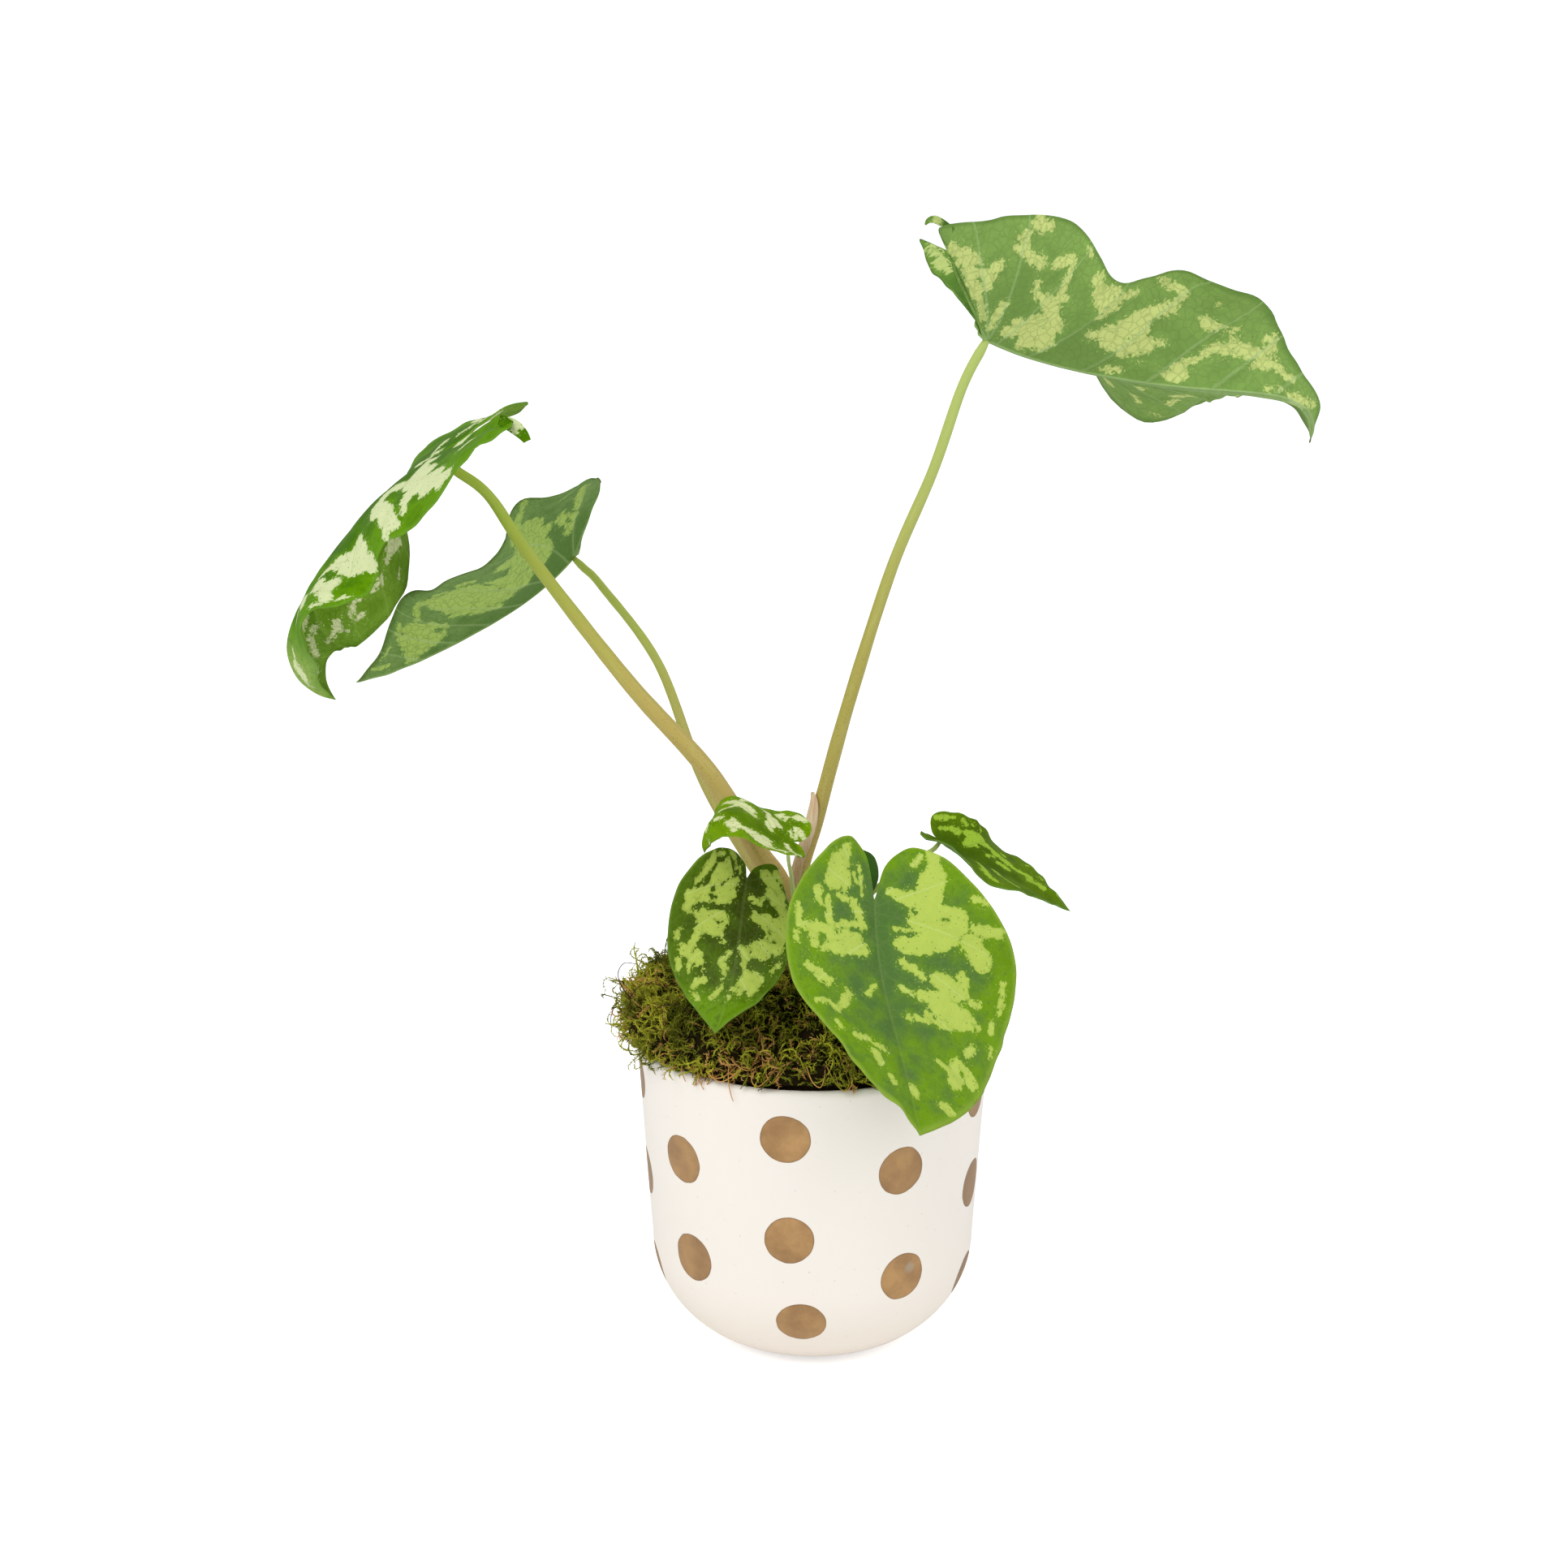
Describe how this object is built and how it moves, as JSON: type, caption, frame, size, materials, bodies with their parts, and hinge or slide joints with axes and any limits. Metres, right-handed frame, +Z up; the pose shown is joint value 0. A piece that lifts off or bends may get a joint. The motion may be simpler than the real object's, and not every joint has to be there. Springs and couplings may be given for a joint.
{
  "type": "potted alocasia plant",
  "caption": "Potted variegated alocasia: heart-shaped leaves on slender stems rise from moss in a round ceramic pot with a rounded foot and painted dots.",
  "frame": {"origin": "centre of the pot's flat base", "axes": "+Z up along the pot's axis, -Y towards the front of the picture, +X to the right"},
  "size_m": [0.3414, 0.1914, 0.3792],
  "materials": {
    "pot": "matte",
    "soil": "matte",
    "corm": "matte",
    "moss": "matte",
    "sheath": "matte",
    "stem_tan": "satin",
    "stem_green": "satin",
    "blade": "satin"
  },
  "bodies": {
    "root": {"pot": "pot", "soil": "soil", "corm": "corm", "moss": "moss", "sheath": "sheath", "petiole_1": "stem_tan", "petiole_2": "stem_tan", "petiole_3": "stem_green", "petiole_4": "stem_green", "petiole_5": "stem_green", "petiole_6": "stem_green", "petiole_7": "stem_green", "petiole_8": "stem_green", "blade_1": "blade", "blade_2": "blade", "blade_3": "blade", "blade_4": "blade", "blade_5": "blade", "blade_6": "blade", "blade_7": "blade", "blade_8": "blade"}
  },
  "joints": []
}
